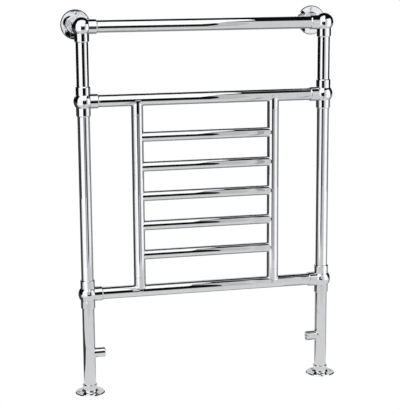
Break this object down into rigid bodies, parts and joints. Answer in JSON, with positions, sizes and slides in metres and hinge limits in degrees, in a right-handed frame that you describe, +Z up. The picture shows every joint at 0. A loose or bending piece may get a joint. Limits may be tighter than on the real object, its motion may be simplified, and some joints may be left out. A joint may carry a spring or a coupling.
{
  "type": "towel warmer rack",
  "caption": "Floor-standing chrome towel warmer: ball-jointed tube frame with a ladder of rungs, inlet stubs, floor flanges and wall stays.",
  "frame": {"origin": "on the floor, under the middle of the object's bounding box", "axes": "+Z up, -Y towards the room (front), +Y towards the wall, +X to the right seen from the front"},
  "size_m": [0.7, 0.142, 0.973],
  "materials": {
    "chrome_tube": "polished chrome plate on brass tube",
    "chrome_fitting": "polished chrome plate on cast and turned brass",
    "screw_metal": "chromed screws, slightly duller",
    "vent_brass": "turned brass, unplated",
    "seal_rubber": "black, matt"
  },
  "bodies": {
    "rack": {"top_rail": "chrome_tube", "second_rail": "chrome_tube", "bottom_rail": "chrome_tube", "left_top_ball": "chrome_fitting", "left_middle_ball": "chrome_fitting", "left_bottom_ball": "chrome_fitting", "left_inlet_stub": "chrome_fitting", "left_upper_riser_stub": "chrome_fitting", "left_lower_riser_stub": "chrome_fitting", "left_upper_post": "chrome_tube", "left_middle_post": "chrome_tube", "left_leg": "chrome_tube", "left_inner_upright": "chrome_tube", "left_wall_stay": "chrome_tube", "left_floor_flange": "chrome_fitting", "left_floor_flange_screw_1": "screw_metal", "left_floor_flange_screw_2": "screw_metal", "left_floor_flange_screw_3": "screw_metal", "left_floor_flange_grub_screw": "screw_metal", "left_wall_flange": "chrome_fitting", "left_wall_flange_screw_1": "screw_metal", "left_wall_flange_screw_2": "screw_metal", "left_wall_flange_screw_3": "screw_metal", "left_wall_flange_grub_screw": "screw_metal", "right_top_ball": "chrome_fitting", "right_middle_ball": "chrome_fitting", "right_bottom_ball": "chrome_fitting", "right_inlet_stub": "chrome_fitting", "right_upper_riser_stub": "chrome_fitting", "right_lower_riser_stub": "chrome_fitting", "right_upper_post": "chrome_tube", "right_middle_post": "chrome_tube", "right_leg": "chrome_tube", "right_inner_upright": "chrome_tube", "right_wall_stay": "chrome_tube", "right_floor_flange": "chrome_fitting", "right_floor_flange_screw_1": "screw_metal", "right_floor_flange_screw_2": "screw_metal", "right_floor_flange_screw_3": "screw_metal", "right_floor_flange_grub_screw": "screw_metal", "right_wall_flange": "chrome_fitting", "right_wall_flange_screw_1": "screw_metal", "right_wall_flange_screw_2": "screw_metal", "right_wall_flange_screw_3": "screw_metal", "right_wall_flange_grub_screw": "screw_metal", "rung_1": "chrome_tube", "rung_2": "chrome_tube", "rung_3": "chrome_tube", "rung_4": "chrome_tube", "rung_5": "chrome_tube", "vent_boss": "chrome_fitting", "vent_body": "vent_brass", "vent_seal": "seal_rubber"},
    "vent_spindle": {"vent_spindle": "vent_brass"}
  },
  "joints": [
    {"name": "vent_spindle_turn", "type": "hinge", "parent": "rack", "child": "vent_spindle", "pos_m": [0.235, -0.005, 0.935], "axis": [0, 1, 0], "range_deg": [0, 360]}
  ]
}
